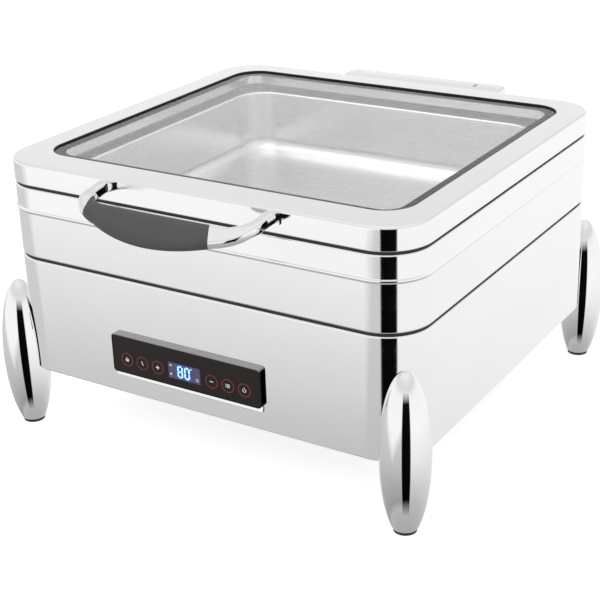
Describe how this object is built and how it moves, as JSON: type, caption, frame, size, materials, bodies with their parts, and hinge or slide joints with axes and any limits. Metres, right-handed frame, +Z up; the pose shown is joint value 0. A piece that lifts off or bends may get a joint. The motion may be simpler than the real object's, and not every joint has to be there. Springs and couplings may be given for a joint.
{
  "type": "electric buffet server",
  "caption": "Square electric chafing dish: polished steel body with touch panel on oval legs, pan and water bath inside, hinged glass lid with a bowed handle.",
  "frame": {"origin": "on the ground, under the middle of the overall box", "axes": "+Z up, -Y to the front with the handle and control panel, +X to the right seen from the front"},
  "size_m": [0.4512, 0.488, 0.2655],
  "materials": {
    "polished_steel": "polished stainless sheet",
    "satin_steel": "satin brushed stainless",
    "leg_chrome": "mirror-polished casting",
    "zinc_steel": "bright zinc-plated steel",
    "pan_steel": "pressed stainless pan",
    "lid_glass": "clear tempered glass",
    "black_rubber": "black silicone rubber",
    "panel_glass": "black printed glass",
    "dark_chrome": "dark chrome frame",
    "grip_plastic": "dark satin moulded grip",
    "cast_aluminium": "cast aluminium",
    "board_green": "glass-epoxy circuit board",
    "black_plastic": "moulded black plastic",
    "relay_blue": "moulded blue case",
    "transformer_yellow": "tape-wound transformer",
    "capacitor_sleeve": "sleeved can",
    "terminal_grey": "pale grey moulding",
    "brass_pins": "plated brass",
    "lead_sleeve": "red silicone sleeve",
    "ribbon_grey": "grey ribbon insulation",
    "display": "lit display module",
    "key_film": "red-lit touch ring",
    "bush_brass": "sintered bush"
  },
  "bodies": {
    "base": {"base_housing": "polished_steel", "upper_shell": "polished_steel", "bottom_plate": "satin_steel", "bottom_screws": "zinc_steel", "seam_gasket": "black_rubber", "water_pan": "pan_steel", "food_pan": "pan_steel", "lid_seal": "black_rubber", "leg_bolts": "zinc_steel", "heating_plate": "cast_aluminium", "heating_element": "satin_steel", "element_clamps": "zinc_steel", "heat_shield": "satin_steel", "thermal_cutout": "black_plastic", "temperature_probe": "satin_steel", "panel_bezel": "dark_chrome", "panel_glass": "panel_glass", "display_module": "display", "touch_keys": "key_film", "panel_tray": "black_plastic", "control_board": "board_green", "power_board": "board_green", "board_standoffs": "terminal_grey", "relay": "relay_blue", "transformer": "transformer_yellow", "capacitor": "capacitor_sleeve", "terminal_block": "terminal_grey", "inlet_housing": "black_plastic", "inlet_pins": "brass_pins", "inlet_screws": "zinc_steel", "supply_leads": "lead_sleeve", "element_leads": "lead_sleeve", "ribbon_cable": "ribbon_grey", "hinge_bracket": "satin_steel", "bracket_screws": "zinc_steel", "hinge_pin": "zinc_steel", "hinge_damper": "black_plastic", "leg_front_left": "leg_chrome", "foot_pad_front_left": "black_rubber", "leg_front_right": "leg_chrome", "foot_pad_front_right": "black_rubber", "leg_rear_left": "leg_chrome", "foot_pad_rear_left": "black_rubber", "leg_rear_right": "leg_chrome", "foot_pad_rear_right": "black_rubber"},
    "lid": {"lid_frame": "satin_steel", "lid_glass": "lid_glass", "glass_gasket": "black_rubber", "glass_retainer": "satin_steel", "retainer_screws": "zinc_steel", "handle_bow": "leg_chrome", "handle_grip": "grip_plastic", "handle_plate": "satin_steel", "handle_screws": "zinc_steel", "hinge_cover": "leg_chrome", "hinge_bushes": "bush_brass", "cover_screws": "zinc_steel"}
  },
  "joints": [
    {"name": "lid_hinge", "type": "hinge", "parent": "base", "child": "lid", "pos_m": [0, 0.23, 0.252], "axis": [-1, 0, 0], "range_deg": [0, 90]}
  ]
}
